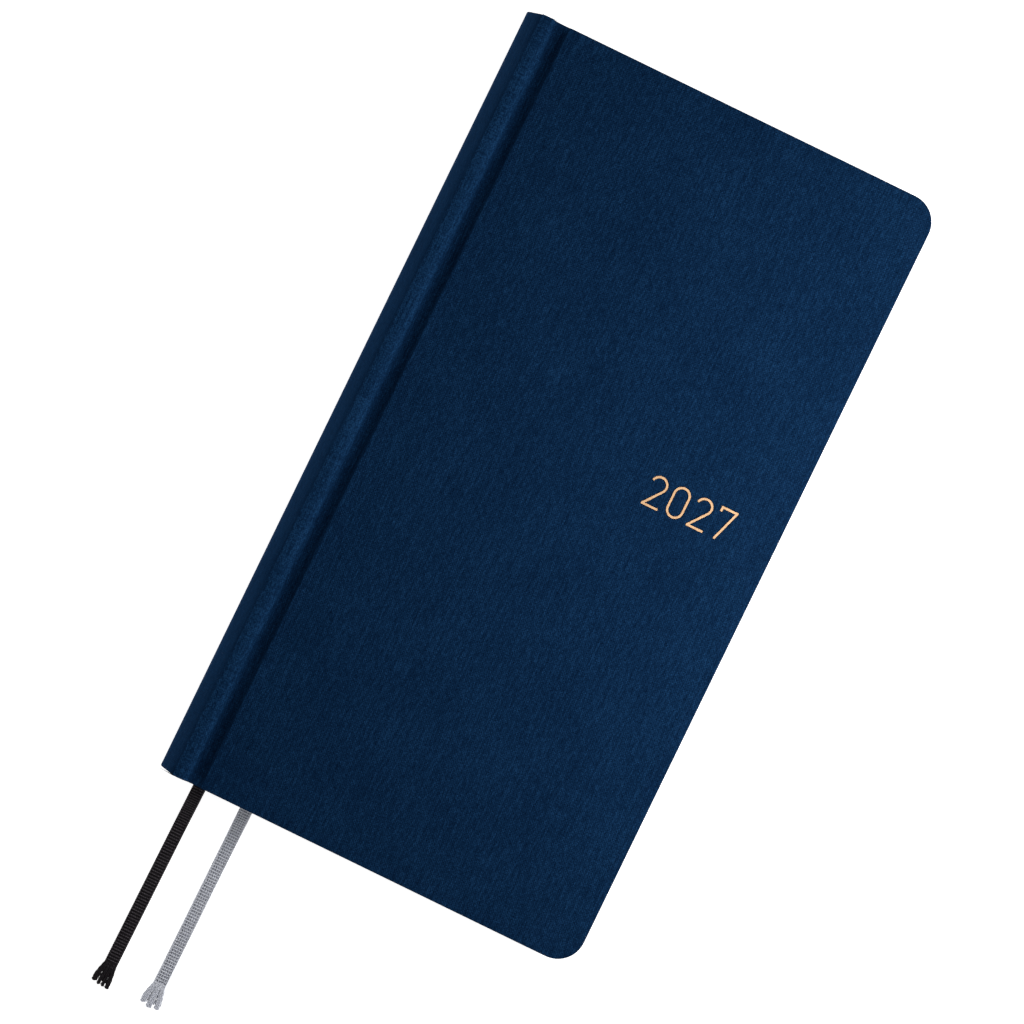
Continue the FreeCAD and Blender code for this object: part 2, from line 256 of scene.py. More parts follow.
clothLook = {
    "dark": (0.0012, 0.0074, 0.0255, 1),
    "plain": (0.0034, 0.0192, 0.0570, 1),
    "light": (0.0095, 0.0450, 0.1200, 1),
    "threadsPerMm": 3.0,
    "wander": 0.45,
    # what the tone is made of, by share
    "weaveTone": 0.40,
    "weaveHeight": 0.20,
    "flecks": 0.72,
    "slubs": 0.46,
    "runs": 0.34,
    "cloudy": 0.18,
    "tones": (0.80, 1.50),        # sums that give the darkest and the lightest tone
    "smoothTone": 0.46,           # stretched cloth comes this near to one tone
    "smoothShare": 0.6,
    "smoothEdge": (0.4 * mm, 0.2 * mm),     # outside and inside the ends of the stretch
    # how much darker the painted shade in the joint groove makes the tone
    "grooveShadeDepth": 0.17,
    "bump": 0.00006,
    "fleckBump": 0.7,
}


def bookCloth(name, smooth=None, pressed=None, paintedHighlights=()):
    # smooth: (start, end) along the cloth where it is stretched and its weave hardly shows
    # painted groove shade: (middle, half width) of the joint groove, where the cloth is painted darker as
    # shade
    # painted highlights: (middle, half width, how much lighter, how crinkled) for each lighter strip; the
    # crinkled strips on the ridges stand for wear as well as painted highlight
    c = clothLook
    material, w, sockets = newMaterial(name, Roughness=0.75, IOR=1.06)
    place = w.node("ShaderNodeUVMap", uv_map="cloth").outputs["UV"]
    weave = placeGroup(w, weaveGroup, Place=place, Threads_per_mm=c["threadsPerMm"], Wander=c["wander"])
    flecks = w.noise(w.scaled(place, (2700, 1900, 1)), 1.0, 3.0, 0.7)
    others = {
        "slubs": w.noise(w.scaled(place, (2300, 330, 1)), 1.0, 2.0),
        "runs": w.noise(w.scaled(place, (1700, 70, 1)), 1.0, 2.0),
        "cloudy": w.noise(place, 60.0, 3.0),
    }
    tone = w.maths("MULTIPLY", weave["Tone"], c["weaveTone"])
    for part, source in {"weaveHeight": weave["Height"], "flecks": flecks, **others}.items():
        tone = w.maths("MULTIPLY_ADD", source, c[part], tone)
    tone = w.ranged(tone, *c["tones"])
    along = w.parts(place)[0]
    if smooth:
        (start, end), (out, back) = smooth, c["smoothEdge"]
        inside = w.maths("MULTIPLY", w.ranged(along, start - out, start + back),
                         w.ranged(along, end + out, end - back))
        evener = w.maths("MULTIPLY", w.maths("SUBTRACT", c["smoothTone"], tone), c["smoothShare"])
        tone = w.maths("ADD", tone, w.maths("MULTIPLY", inside, evener))
    # painted shade: the tone is darkened across the joint groove
    if pressed:
        middle, reach = pressed
        tone = w.maths("SUBTRACT", tone, w.strip(along, middle, reach, 0.2 * reach, 0.0, c["grooveShadeDepth"]))
    crinkles = w.maths("SUBTRACT", w.noise(w.scaled(place, (2000, 1700, 1)), 1.0, 2.0), 0.5)
    # painted highlight: strips of the cloth made lighter
    for middle, reach, gain, crinkle in paintedHighlights:
        lighter = w.maths("MULTIPLY_ADD", crinkles, crinkle, gain)
        tone = w.maths("MULTIPLY_ADD", w.strip(along, middle, reach, 0.6 * reach), lighter, tone)
    ramp = w.node("ShaderNodeValToRGB", {"Fac": tone})
    ramp.color_ramp.elements[0].color = c["dark"]
    ramp.color_ramp.elements[1].color = c["light"]
    ramp.color_ramp.elements.new(0.5).color = c["plain"]
    w.feed(sockets["Base Color"], ramp.outputs["Color"])
    raised = w.maths("MULTIPLY_ADD", flecks, c["fleckBump"], weave["Height"])
    w.feed(sockets["Normal"], w.bump(raised, c["bump"]))
    return material


foilLook = {
    "bright": (0.92, 0.58, 0.31, 1),
    "dull": (0.74, 0.42, 0.22, 1),
    # the two tones of the painted shade round the year
    "rimDark": (0.0008, 0.0045, 0.015, 1),
    "rimLight": (0.0018, 0.010, 0.030, 1),
}


def foilGold():
    material, w, sockets = newMaterial("stamping_foil", Metallic=0.3, Roughness=0.42)
    specks = w.noise(w.place(), 1500.0, 3.0, 0.6)
    colour = w.mixed(w.ranged(specks, 0.35, 0.75), foilLook["bright"], foilLook["dull"])
    w.feed(sockets["Base Color"], colour)
    w.feed(sockets["Normal"], w.bump(specks, 0.00001, 0.5))
    return material


# a dark strip round the year: painted shade where the stamp pressed the cloth down
def paintedShadeRim():
    material, w, sockets = newMaterial("painted_shade_rim", Roughness=0.9, Specular_IOR_Level=0.02)
    grain = w.ranged(w.noise(w.place(), 1800.0, 2.0), 0.3, 0.7)
    w.feed(sockets["Base Color"], w.mixed(grain, foilLook["rimDark"], foilLook["rimLight"]))
    return material


def plainFibre(name, light, dark, scale, rough=0.8):
    # board, paper, thread and glue: fine fibres in two tones
    material, w, sockets = newMaterial(name, Roughness=rough)
    fibres = w.noise(w.place(), scale, 4.0, 0.65)
    w.feed(sockets["Base Color"], w.mixed(w.ranged(fibres, 0.3, 0.7), dark, light))
    w.feed(sockets["Normal"], w.bump(fibres, 0.00002, 0.5))
    return material


pageRuling = {
    "pitch": 3.7 * mm,
    "line": 0.13 * mm,
    "from": 11.0 * mm,
    "to": 95.0 * mm,
    "height": 84.0 * mm,          # above and below the middle of the page
    "end": 0.1 * mm,
    "ink": 0.55,
    "inkColour": (0.42, 0.46, 0.52, 1),
    "dark": (0.80, 0.79, 0.74, 1),
    "light": (0.87, 0.86, 0.82, 1),
}


def ruledPaper(name):
    # plain paper with a faint square grid inside its margins
    p = pageRuling
    material, w, sockets = newMaterial(name, Roughness=0.85, Specular_IOR_Level=0.2)
    page = w.node("ShaderNodeUVMap", uv_map="page").outputs["UV"]
    fibres = w.noise(w.place(), 900.0, 4.0, 0.65)
    paper = w.mixed(w.ranged(fibres, 0.3, 0.7), p["dark"], p["light"])
    split = w.parts(page)
    half = p["line"] / p["pitch"] / 2
    lines = 0.0
    for axis in (0, 1):
        steps = w.maths("FRACT", w.maths("DIVIDE", split[axis], p["pitch"]))
        lines = w.maths("MAXIMUM", lines, w.strip(steps, 0.5, 2 * half, half))
    inside = w.ranged(split[0], p["from"], p["from"] + p["end"])
    inside = w.maths("MULTIPLY", inside, w.ranged(split[0], p["to"], p["to"] - p["end"]))
    inside = w.maths("MULTIPLY", inside, w.strip(split[1], 0.0, p["height"], p["height"] - p["end"]))
    ink = w.maths("MULTIPLY", w.maths("MULTIPLY", lines, inside), p["ink"])
    w.feed(sockets["Base Color"], w.mixed(ink, paper, p["inkColour"]))
    w.feed(sockets["Normal"], w.bump(fibres, 0.00001, 0.5))
    return material


bandCotton = {
    "thread": 1.1 * mm,
    "pale": (0.78, 0.77, 0.73, 1),
    "blue": (0.012, 0.045, 0.11, 1),
    "worn": (0.2, 0.2, 0.2, 1),
}


def stripedCotton(name):
    # a headband's rolled cotton, striped across
    c = bandCotton
    material, w, sockets = newMaterial(name, Roughness=0.8, Specular_IOR_Level=0.2)
    place = w.place()
    level = w.parts(place)["Z"]
    turns = w.maths("SINE", w.maths("MULTIPLY", level, 2 * pi / c["thread"]))
    ribs = w.maths("SINE", w.maths("MULTIPLY", level, 8 * pi / c["thread"]))
    fibres = w.noise(place, 2600.0, 3.0)
    tones = w.mixed(w.ranged(turns, -0.15, 0.15), c["pale"], c["blue"])
    w.feed(sockets["Base Color"], w.mixed(w.ranged(fibres, 0.2, 0.9, 0.0, 0.35), tones, c["worn"]))
    w.feed(sockets["Normal"], w.bump(w.maths("MULTIPLY_ADD", fibres, 0.5, ribs), 0.00003))
    return material


gauze = {"threadsPerMm": 1.2, "gaps": (0.45, 0.43, 0.38, 1), "threads": (0.84, 0.82, 0.76, 1)}


def openGauze(name):
    material, w, sockets = newMaterial(name, Roughness=0.85, Specular_IOR_Level=0.2)
    split = w.parts(w.place())
    flat = w.node("ShaderNodeCombineXYZ", {0: split["Y"], 1: split["Z"]}).outputs[0]
    weave = placeGroup(w, weaveGroup, Place=flat, Threads_per_mm=gauze["threadsPerMm"], Wander=0.2)
    w.feed(sockets["Base Color"], w.mixed(weave["Height"], gauze["gaps"], gauze["threads"]))
    w.feed(sockets["Normal"], w.bump(weave["Height"], 0.00008))
    return material


def meshOf(name, bm):
    mesh = bpy.data.meshes.new(name)
    bm.to_mesh(mesh)
    bm.free()
    return mesh


def finishPiece(name, bm, materials, body, replaced, smooth=True):
    # body is None for a piece that is left without a body
    mesh = meshOf(name, bm)
    for material in materials:
        mesh.materials.append(material)
    for face in mesh.polygons:
        face.use_smooth = smooth
    piece = bpy.data.objects.new(name, mesh)
    bpy.context.scene.collection.objects.link(piece)
    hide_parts(*replaced)
    if body:
        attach(piece, body)
    return piece


def blendPiece(piece):
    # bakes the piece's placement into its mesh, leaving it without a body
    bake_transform(piece)


def newParts(made, kind):
    return [part for part in made if isinstance(part, kind)]


def sweepAlong(bm, length):
    # the drawn section becomes a surface along the book
    made = bmesh.ops.extrude_edge_only(bm, edges=bm.edges[:])["geom"]
    bmesh.ops.translate(bm, verts=newParts(made, bmesh.types.BMVert), vec=(0, length, 0))


def turnOutward(bm, outward, faces=None):
    # all faces look one way round, the largest of them outward
    bmesh.ops.recalc_face_normals(bm, faces=bm.faces[:])
    largest = max(faces or bm.faces, key=lambda face: face.calc_area())
    if largest.normal.dot(outward) < 0:
        bmesh.ops.reverse_faces(bm, faces=bm.faces[:])
    bm.normal_update()


def mirrorThrough(bm, level):
    bmesh.ops.scale(bm, vec=(1, 1, -1), verts=bm.verts[:])
    bmesh.ops.translate(bm, vec=(0, 0, 2 * level), verts=bm.verts[:])
    bmesh.ops.reverse_faces(bm, faces=bm.faces[:])


def bevelEdges(bm, edges, reach):
    bmesh.ops.bevel(bm, geom=edges, offset=reach, segments=4, profile=0.5, affect="EDGES",
                    material=-1, clamp_overlap=True)


def roundCorners(bm, x, radius, segments):
    corners = [vert for vert in bm.verts if vert.co.x > x - tiny]
    bmesh.ops.bevel(bm, geom=corners, offset=radius, segments=segments, profile=0.5,
                    affect="VERTICES", material=-1)


def cutAcross(bm, place, across):
    parts = bm.verts[:] + bm.edges[:] + bm.faces[:]
    bmesh.ops.bisect_plane(bm, geom=parts, plane_co=place, plane_no=across)


caseCloth = {
    "noseRadius": 3.5 * mm,
    "ridgeCentre": 5.4 * mm,
    "ridgeRadius": 2.3 * mm,
    "frontRidgeRise": 0.6 * mm,
    "grooveCentre": 8.95 * mm,
    "grooveDepth": 2.1 * mm,
    "cornerRadius": 6.4 * mm,
    "foldedJoint": 0.7 * mm,      # two layers where the cloth turns in across a joint
    "foldedSpine": 1.3 * mm,      # two layers with the card between them
    "arris": 0.34 * mm,
    "crease": 0.22 * mm,          # a pressed line between the spine and the ridge
    "creaseWidth": 0.35 * mm,
    "ridgeSquare": 0.55,
    "ridgeFoot": 3.9 * mm,        # where the ridge rises from the spine
    "ridgeTop": 0.8 * mm,         # half of the ridge's top
    "grooveRunOut": 3.2 * mm,
    "grooveEndFill": 0.62,
    "turnIn": 6.0 * mm,           # what shows round the pasted endpaper, and a little more
    "spineTurnIn": 13.0 * mm,
    "bend": (5.5 * mm, 10.75 * mm),     # where the joint bends as a cover opens
}


def arc(bm, vert, centre, turn, steps):
    # carries a vertex round a centre in the section's plane, leaving edges
    made = bmesh.ops.spin(
        bm, geom=[vert], cent=Vector((centre[0], vert.co.y, centre[1])), axis=(0, 1, 0),
        angle=turn, steps=steps,
    )
    return newParts(made["geom_last"], bmesh.types.BMVert)[0]


def run(bm, vert, s, z):
    # draws an edge on to another point of the section
    made = bmesh.ops.extrude_vert_indiv(bm, verts=[vert])
    made["verts"][0].co = (s, vert.co.y, z)
    return made["verts"][0]


def coverSection(rise):
    # the cloth's outer line from the ridge's top across the groove to the fore-edge
    c = caseCloth
    face = coverHigh.z
    ridge = (spineX + c["ridgeCentre"], face + rise - c["ridgeRadius"])
    along = c["grooveCentre"] - c["ridgeCentre"]
    depth = c["grooveDepth"]
    radius = (along ** 2 - depth * (2 * c["ridgeRadius"] - depth)) / (2 * depth)
    groove = (spineX + c["grooveCentre"], face + rise - depth + radius)
    turn = atan2(groove[1] - ridge[1], groove[0] - ridge[0])
    lift = max(groove[1] - face, 0)
    bm = bmesh.new()
    vert = bm.verts.new((ridge[0], -halfHeight, face + rise))
    vert = arc(bm, vert, ridge, pi / 2 - turn, 8)
    vert = arc(bm, vert, groove, turn - pi + asin(lift / radius), 16)
    if face - vert.co.z > 10 * tiny:
        vert = run(bm, vert, vert.co.x, face)
    arris = vert.co.x
    run(bm, vert, coverHigh.x, face)
    return bm, arris, groove[0]


def nearestOn(line, x, z):
    # distance along the section to its nearest point, and how far off it lies
    best = None
    travelled = 0.0
    for (ax, az), (bx, bz) in zip(line, line[1:]):
        length = hypot(bx - ax, bz - az)
        t = ((x - ax) * (bx - ax) + (z - az) * (bz - az)) / length ** 2
        t = min(max(t, 0), 1)
        off = hypot(x - ax - t * (bx - ax), z - az - t * (bz - az))
        if best is None or off < best[1]:
            best = (travelled + t * length, off)
        travelled += length
    return best


def unwrap(bm, line):
    # the map is in metres: along the cloth's section, and along the book
    layer = bm.loops.layers.uv.new("cloth")
    for face in bm.faces:
        for loop in face.loops:
            place = loop.vert.co
            along, off = nearestOn(line, place.x, place.z)
            v = place.y
            if abs(face.normal.y) > 0.5:
                v += off * (1 if face.normal.y > 0 else -1)
            elif face.normal.x > 0.5:
                along += off
            loop[layer].uv = (along, v)


def inward(place, reach):
    # moves a point of the cover's outline in towards the middle of the board
    c = caseCloth
    edge = c["cornerRadius"]
    near = Vector((
        min(place.x, coverHigh.x - edge),
        min(max(place.y, edge - halfHeight), halfHeight - edge),
        place.z,
    ))
    return place - (place - near).normalized() * reach


def acrossLine(line, place):
    # square to the section at its point nearest to a place
    k = min(range(len(line)), key=lambda n: hypot(line[n][0] - place.x, line[n][1] - place.z))
    before, after = line[max(k - 1, 0)], line[min(k + 1, len(line) - 1)]
    return Vector((after[1] - before[1], 0, before[0] - after[0])).normalized()


def foldOver(bm, rims):
    # one more strip of faces along the rims, not yet moved out: its far corners and its far edges
    made = bmesh.ops.extrude_edge_only(bm, edges=rims)["geom"]
    far = newParts(made, bmesh.types.BMVert)
    edges = [edge for edge in newParts(made, bmesh.types.BMEdge) if all(vert in far for vert in edge.verts)]
    return far, edges


def fillGrooveEnds(bm, line, ridgeX, arris):
    # the groove runs out towards the head and the tail, where the cloth is turned in
    c = caseCloth
    steps = 5
    for step in range(1, steps + 1):
        level = halfHeight - c["grooveRunOut"] * step / steps
        for side in (-1, 1):
            cutAcross(bm, (0, side * level, 0), (0, 1, 0))
    for vert in bm.verts:
        past = (abs(vert.co.y) - halfHeight + c["grooveRunOut"]) / c["grooveRunOut"]
        if past > 0 and ridgeX < vert.co.x < arris:
            share = (vert.co.x - line[0][0]) / (arris - line[0][0])
            level = min(line, key=lambda point: abs(point[0] - vert.co.x))[1]
            straight = line[0][1] + share * (coverHigh.z - line[0][1])
            vert.co.z += max(straight - level, 0) * c["grooveEndFill"] * past ** 1.5


def coverSkin(name, rise, flip, replaced):
    c = caseCloth
    bm, arris, groove = coverSection(rise)
    line = [(vert.co.x, vert.co.z) for vert in bm.verts]
    sweepAlong(bm, 2 * halfHeight)
    roundCorners(bm, coverHigh.x, c["cornerRadius"], 12)
    turnOutward(bm, Vector((0, 0, 1)))
    ridgeX = spineX + c["ridgeCentre"]
    rims = [edge for edge in bm.edges
            if edge.is_boundary and max(vert.co.x for vert in edge.verts) > ridgeX + tiny]
    top = Vector((arris, 0, coverHigh.z))
    grooveWall = [edge for edge in bm.edges
                  if all((vert.co.xz - top.xz).length < tiny for vert in edge.verts)]
    grooveFloor = min(z for x, z in line) - c["foldedJoint"]
    lower, lowerEdges = foldOver(bm, rims)
    for vert in lower:
        if vert.co.x > arris - tiny:
            vert.co.z = coverLow.z
        elif vert.co.x > groove:
            share = (vert.co.x - groove) / (arris - groove)
            vert.co.z = grooveFloor + share * (coverLow.z - grooveFloor)
        else:
            vert.co += acrossLine(line, vert.co) * c["foldedJoint"]
    for vert in foldOver(bm, lowerEdges)[0]:
        vert.co = inward(vert.co, c["turnIn"])
    bevelEdges(bm, rims + lowerEdges + grooveWall, c["arris"])
    fillGrooveEnds(bm, line, ridgeX, arris)
    turnOutward(bm, Vector((0, 0, 1)))
    unwrap(bm, line)
    if flip:
        mirrorThrough(bm, bookMiddle)
    piece = finishPiece(name, bm, [coverClothMaterial], None, replaced)
    blendPiece(piece)


def spineSection():
    # the cloth's outer line from the front ridge's top round the spine to the back ridge
    c = caseCloth
    top = spineHigh.z
    ridgeX = spineX + c["ridgeCentre"]
    nose = (spineX + c["noseRadius"], top / 2)
    along, up = c["ridgeCentre"] - c["noseRadius"], top / 2 - c["ridgeRadius"]
    tilt = atan2(along, up) + asin((c["noseRadius"] - c["ridgeRadius"]) / hypot(along, up))
    bm = bmesh.new()
    vert = bm.verts.new((ridgeX, -halfHeight, top))
    flank = Vector((-cos(tilt), 0, sin(tilt)))
    slope = Vector((-sin(tilt), 0, -cos(tilt)))
    wide = c["creaseWidth"]
    vert = arc(bm, vert, (ridgeX, top - c["ridgeRadius"]), tilt - pi / 2, 7)
    crease = vert.co.copy()
    vert.co -= flank * c["crease"]
    vert = run(bm, vert, *(crease + slope * wide).xz)
    vert = run(bm, vert, nose[0] - c["noseRadius"] * cos(tilt), nose[1] + c["noseRadius"] * sin(tilt))
    vert = arc(bm, vert, nose, -2 * tilt, 12)
    vert = run(bm, vert, crease.x + slope.x * wide, top - crease.z - slope.z * wide)
    vert = run(bm, vert, crease.x, top - crease.z)
    arc(bm, vert, (ridgeX, c["ridgeRadius"]), tilt - pi / 2, 7)
    for vert in bm.verts:
        if vert.co.z > crease.z + 50 * tiny:
            vert.co.z += (top - vert.co.z) * c["ridgeSquare"]
    return bm, ridgeX


def spineSkin():
    c = caseCloth
    outward = Vector((-1, 0, 0))
    bm, ridgeX = spineSection()
    line = [(vert.co.x, vert.co.z) for vert in bm.verts]
    sweepAlong(bm, 2 * halfHeight)
    turnOutward(bm, outward)
    rims = [edge for edge in bm.edges
            if edge.is_boundary and abs(edge.verts[0].co.y - edge.verts[1].co.y) < tiny]
    lower, lowerEdges = foldOver(bm, rims)
    for vert in lower:
        across = acrossLine(line, vert.co)
        if across.x < 0:
            across = -across
        overRidge = vert.co.x > spineX + c["ridgeFoot"]
        vert.co += across * (c["foldedJoint"] if overRidge else c["foldedSpine"])
        if abs(vert.co.x - ridgeX) < c["ridgeTop"] and overRidge:
            vert.co.x = min(vert.co.x, ridgeX)
    for vert in foldOver(bm, lowerEdges)[0]:
        vert.co.y -= c["spineTurnIn"] * (1 if vert.co.y > 0 else -1)
    bevelEdges(bm, rims + lowerEdges, c["arris"])
    turnOutward(bm, outward)
    unwrap(bm, line)
    finishPiece("spine_cloth_skin", bm, [spineClothMaterial], "text_block", ("spine_cloth",))


yearFoil = {
    "rise": 0.02 * mm,
    "rim": 0.16 * mm,             # painted shade: a dark strip this wide round the foil, where the stamp pressed the cloth down
    "ragged": 0.035 * mm,
    "raggedEvery": 0.45 * mm,
    "thickness": 0.06 * mm,
}


def stripOutside(bm, reach, level):
    # a strip of faces round the outline of flat faces that look up, in the second material
    away = {}
    outline = [edge for edge in bm.edges if edge.is_boundary]
    for edge in outline:
        corner = edge.link_loops[0]
        along = (corner.link_loop_next.vert.co - corner.vert.co).normalized()
        for vert in edge.verts:
            away[vert] = away.get(vert, Vector()) + Vector((along.y, -along.x, 0))
    made = bmesh.ops.extrude_edge_only(bm, edges=outline)["geom"]
    for vert in newParts(made, bmesh.types.BMVert):
        inner = next(edge.other_vert(vert) for edge in vert.link_edges if edge.other_vert(vert) in away)
        vert.co += away[inner].normalized() * reach
        vert.co.z = level
    for face in newParts(made, bmesh.types.BMFace):
        face.material_index = 1


def makeYear():
    # the stamped year, its edges a little ragged, in a narrow dark rim of painted shade
    bm = bmesh.new()
    bm.from_mesh(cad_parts["foil_year"].data)
    bmesh.ops.remove_doubles(bm, verts=bm.verts[:], dist=tiny)
    bm.normal_update()
    under = [face for face in bm.faces if face.normal.z < 0.5]
    bmesh.ops.delete(bm, geom=under, context="FACES")
    bmesh.ops.dissolve_limit(bm, angle_limit=radians(1), verts=bm.verts[:], edges=bm.edges[:])
    every = yearFoil["raggedEvery"]
    for turn in range(3):
        long = [edge for edge in bm.edges if edge.is_boundary and edge.calc_length() > every]
        bmesh.ops.subdivide_edges(bm, edges=long, cuts=1)
    for vert in bm.verts:
        at = vert.co / every
        vert.co += Vector((noise.noise(at), noise.noise(at.yxz), 0)) * yearFoil["ragged"]
        vert.co.z = coverHigh.z + yearFoil["rise"]
    stripOutside(bm, yearFoil["rim"], coverHigh.z + yearFoil["rise"] / 4)
    bmesh.ops.triangulate(bm, faces=bm.faces[:])
    bmesh.ops.solidify(bm, geom=bm.faces[:], thickness=yearFoil["thickness"])
    bmesh.ops.recalc_face_normals(bm, faces=bm.faces[:])
    finishPiece("year_foil", bm, [looks["stamping_foil"], paintedShadeRim()], "front_cover",
                ("foil_year",), smooth=False)


tape = {
    "width": 3.1 * mm,
    "row": 0.71 * mm,             # from one bar to the next
    "lift": 0.06 * mm,            # a bar is one pass of the weft above and one below
    "weftRadius": 0.135 * mm,
    "weftReach": 0.94,            # how much of the way to the edge yarns a pass is straight
    "weftSlack": 0.02 * mm,
    "swell": 0.05 * mm,           # how far the weft rises between the warps
    "warpRadius": 0.07 * mm,
    "warps": (-1.08 * mm, -0.54 * mm, 0.0, 0.54 * mm, 1.08 * mm),
    "warpLevel": 0.11 * mm,
    "warpWave": 0.035 * mm,
    "edgeRadius": 0.16 * mm,
    "edgeWave": 0.035 * mm,
    "edgeStep": 0.125 * mm,
    "coreWidth": 2.6 * mm,
    "coreThickness": 0.08 * mm,
}


def sideways(distance):
    return Vector((distance, 0, 0))


def routeLine(name, points):
    # the smooth line that a ribbon follows, as points close together
    curve = bpy.data.curves.new(name, "CURVE")
    curve.dimensions = "3D"
    curve.resolution_u = 40
    spline = curve.splines.new("NURBS")
    spline.points.add(len(points) - 1)
    for point, place in zip(spline.points, points):
        point.co = (place[0] * mm, place[1] * mm, place[2] * mm, 1)
    spline.order_u = 3
    spline.use_endpoint_u = True
    holder = bpy.data.objects.new(name, curve)
    mesh = bpy.data.meshes.new_from_object(holder)
    line = [vert.co.copy() for vert in mesh.vertices]
    bpy.data.objects.remove(holder)
    bpy.data.meshes.remove(mesh)
    return line


def evenSteps(line, step):
    # places at even steps along a line, each with the way ahead and the way up
    total = sum((b - a).length for a, b in zip(line, line[1:]))
    count = max(round(total / step), 1)
    places, travelled, k = [], 0.0, 0
    for n in range(count + 1):
        want = total * n / count
        while k < len(line) - 2 and travelled + (line[k + 1] - line[k]).length < want:
            travelled += (line[k + 1] - line[k]).length
            k += 1
        ahead = (line[k + 1] - line[k]).normalized()
        up = Vector((1, 0, 0)).cross(ahead).normalized()
        places.append((line[k] + ahead * (want - travelled), ahead, up if up.z > 0 else -up))
    return places


def strandMesh(name, strands, radius, sides=1):
    # round strands as one mesh, each along its own points
    curve = bpy.data.curves.new(name, "CURVE")
    curve.dimensions = "3D"
    curve.bevel_depth = radius
    curve.bevel_resolution = sides
    curve.use_fill_caps = True
    for points in strands:
        spline = curve.splines.new("POLY")
        spline.points.add(len(points) - 1)
        for point, place in zip(spline.points, points):
            point.co = (*place, 1)
    holder = bpy.data.objects.new(name, curve)
    mesh = bpy.data.meshes.new_from_object(holder)
    bpy.data.objects.remove(holder)
    return mesh


def weftPoints(line, points):
    # one yarn that crosses the tape on top, turns at its edge and crosses back below
    half = tape["width"] / 2 - tape["edgeRadius"]
    between = tape["warps"][1] - tape["warps"][0]
    gather = tape["row"] / 4
    strand = []
    for k, (place, ahead, up) in enumerate(evenSteps(line, tape["row"] / 2)):
        side = 1 if k % 2 else -1
        start = place + ahead * (-gather if k % 2 else gather)
        for m in range(points + 1):
            across = side * (2 * m / points - 1) * half * tape["weftReach"]
            rise = side * (tape["swell"] * cos(2 * pi * across / between) - tape["lift"])
            slack = tape["weftSlack"] * sin(k * 1.7 + m)
            strand.append(start + sideways(across) + ahead * slack + up * rise)
        strand.append(start + sideways(side * half) + ahead * gather)
    return strand


def warpPoints(line, across, level):
    # held down over each bar and sunk between the bars
    points = []
    for k, (place, ahead, up) in enumerate(evenSteps(line, tape["row"] / 4)):
        rise = level * (tape["warpLevel"] - tape["warpWave"] * cos(pi * (k / 2 - 0.5)))
        points.append(place + sideways(across) + up * rise)
    return points


def edgePoints(line, side):
    points = []
    half = tape["width"] / 2 - tape["edgeRadius"]
    for k, (place, ahead, up) in enumerate(evenSteps(line, tape["edgeStep"])):
        wave = tape["edgeWave"] * cos(pi * k / 2)
        points.append(place + sideways(side * (half + wave)) + up * wave)
    return points


def coreStrip(line):
    # the flat inside of the tape, coloured darker than its yarns: painted shade between them
    bm = bmesh.new()
    places = evenSteps(line, 1.0 * mm)
    half = tape["coreWidth"] / 2
    edge = bm.edges.new([bm.verts.new(places[0][0] + sideways(side * half)) for side in (-1, 1)])
    for place, ahead, up in places[1:]:
        made = bmesh.ops.extrude_edge_only(bm, edges=[edge])["geom"]
        edge = [part for part in newParts(made, bmesh.types.BMEdge)
                if all(vert in made for vert in part.verts)][0]
        middle = (edge.verts[0].co.x + edge.verts[1].co.x) / 2
        for vert in edge.verts:
            vert.co = place + sideways(half if vert.co.x > middle else -half)
    bmesh.ops.solidify(bm, geom=bm.faces[:], thickness=tape["coreThickness"])
    bmesh.ops.recalc_face_normals(bm, faces=bm.faces[:])
    return meshOf("shaded_core", bm)


def joinMeshes(meshes, apart=True):
    # several meshes as one, each in a material slot of its own if they are kept apart
    bm = bmesh.new()
    for index, mesh in enumerate(meshes):
        before = len(bm.faces)
        bm.from_mesh(mesh)
        bm.faces.ensure_lookup_table()
        for face in bm.faces[before:]:
            face.material_index = index if apart else 0
        bpy.data.meshes.remove(mesh)
    return bm


def wovenTape(line, points=24, sides=1):
    # points along each pass of the weft; sides is 0 for thin yarns and warps on top only
    levels = (-1, 1) if sides else (1,)
    warps = [warpPoints(line, across, level) for level in levels for across in tape["warps"]]
    return joinMeshes([
        strandMesh("weft", [weftPoints(line, points)], tape["weftRadius"], sides),
        strandMesh("warps", warps, tape["warpRadius"], sides),
        coreStrip(line),
        strandMesh("edges", [edgePoints(line, side) for side in (-1, 1)], tape["edgeRadius"], sides),
    ])


def yarn(name, light, dark, shine):
    material, w, sockets = newMaterial(name, Roughness=0.6, IOR=shine)
    fibres = w.noise(w.scaled(w.place(), (4200, 3000, 4200)), 1.0, 2.0)
    w.feed(sockets["Base Color"], w.mixed(w.ranged(fibres, 0.35, 0.65), dark, light))
    w.feed(sockets["Normal"], w.bump(fibres, 0.00002, 0.6))
    return material


